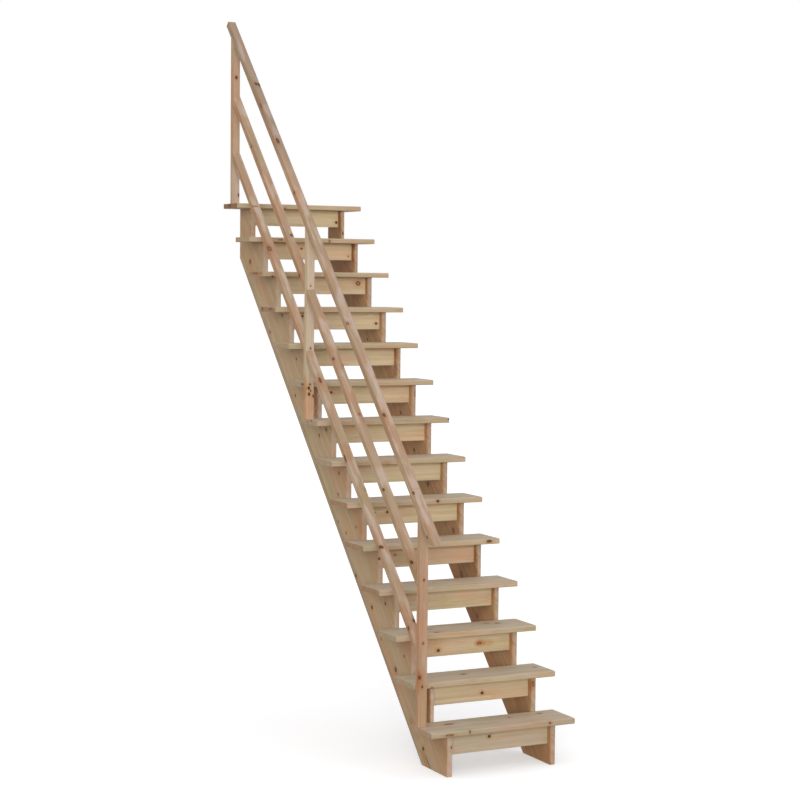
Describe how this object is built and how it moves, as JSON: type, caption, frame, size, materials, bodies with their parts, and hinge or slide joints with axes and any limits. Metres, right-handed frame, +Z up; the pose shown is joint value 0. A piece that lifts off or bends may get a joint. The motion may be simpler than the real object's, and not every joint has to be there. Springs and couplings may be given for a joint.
{
  "type": "straight open wooden staircase with handrail on the left",
  "caption": "Straight open wooden stair with sawtooth stringers, level treads, low riser boards and a slatted handrail on the left side.",
  "frame": {"origin": "middle of the upright cut at the upper end of the left stringer, where the stair is fixed against the edge of the upper floor", "axes": "+Z up, +Y level in the climbing direction, +X to the right when climbing"},
  "size_m": [0.796, 2.709, 3.8581],
  "materials": {
    "stringer_pine": "planed untreated softwood board, wide flame grain, small knots",
    "tread_pine": "planed untreated softwood tread, grain along its length, small knots",
    "riser_pine": "planed untreated softwood board, yellowish, small dark knots",
    "rail_pine": "planed untreated softwood bar with rounded edges, slightly pink"
  },
  "bodies": {
    "root": {"left_stringer": "stringer_pine", "right_stringer": "stringer_pine", "tread_01": "tread_pine", "tread_02": "tread_pine", "tread_03": "tread_pine", "tread_04": "tread_pine", "tread_05": "tread_pine", "tread_06": "tread_pine", "tread_07": "tread_pine", "tread_08": "tread_pine", "tread_09": "tread_pine", "tread_10": "tread_pine", "tread_11": "tread_pine", "tread_12": "tread_pine", "tread_13": "tread_pine", "tread_14": "tread_pine", "riser_01": "riser_pine", "riser_02": "riser_pine", "riser_03": "riser_pine", "riser_04": "riser_pine", "riser_05": "riser_pine", "riser_06": "riser_pine", "riser_07": "riser_pine", "riser_08": "riser_pine", "riser_09": "riser_pine", "riser_10": "riser_pine", "riser_11": "riser_pine", "riser_12": "riser_pine", "riser_13": "riser_pine", "riser_14": "riser_pine", "lower_post": "rail_pine", "middle_post": "rail_pine", "upper_post": "rail_pine", "low_rail_lower_bay": "rail_pine", "low_rail_upper_bay": "rail_pine", "mid_rail_lower_bay": "rail_pine", "mid_rail_upper_bay": "rail_pine", "handrail": "rail_pine"}
  },
  "joints": []
}
